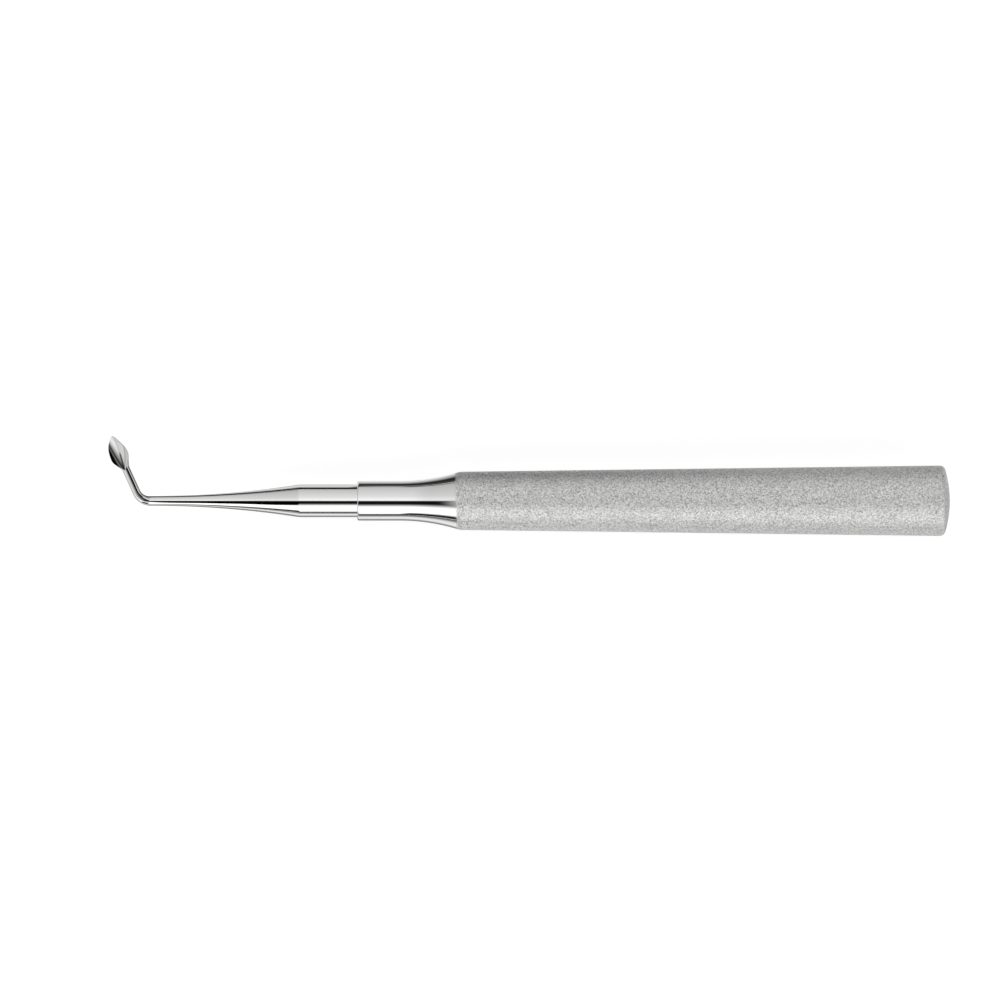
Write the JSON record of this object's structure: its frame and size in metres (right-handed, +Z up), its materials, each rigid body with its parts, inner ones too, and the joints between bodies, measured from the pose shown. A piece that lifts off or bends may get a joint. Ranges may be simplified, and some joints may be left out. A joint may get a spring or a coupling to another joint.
{
  "type": "syndesmotome",
  "caption": "Dental syndesmotome: small hollow-ground leaf blade on a bent tapering shank, set in a large conical hollow handle with a bead-blasted grip and a polished neck.",
  "frame": {"origin": "centre of the bounding box, on the surface that the instrument lies on", "axes": "+X along the instrument towards the butt of the handle, +Y the way the tip bends away, +Z up"},
  "size_m": [0.1648, 0.0196, 0.0138],
  "materials": {
    "polished_steel": "mirror-polished stainless steel",
    "blasted_steel": "fine bead-blasted stainless steel, polished on the neck"
  },
  "bodies": {
    "root": {"working_end": "polished_steel", "handle": "blasted_steel"}
  },
  "joints": []
}
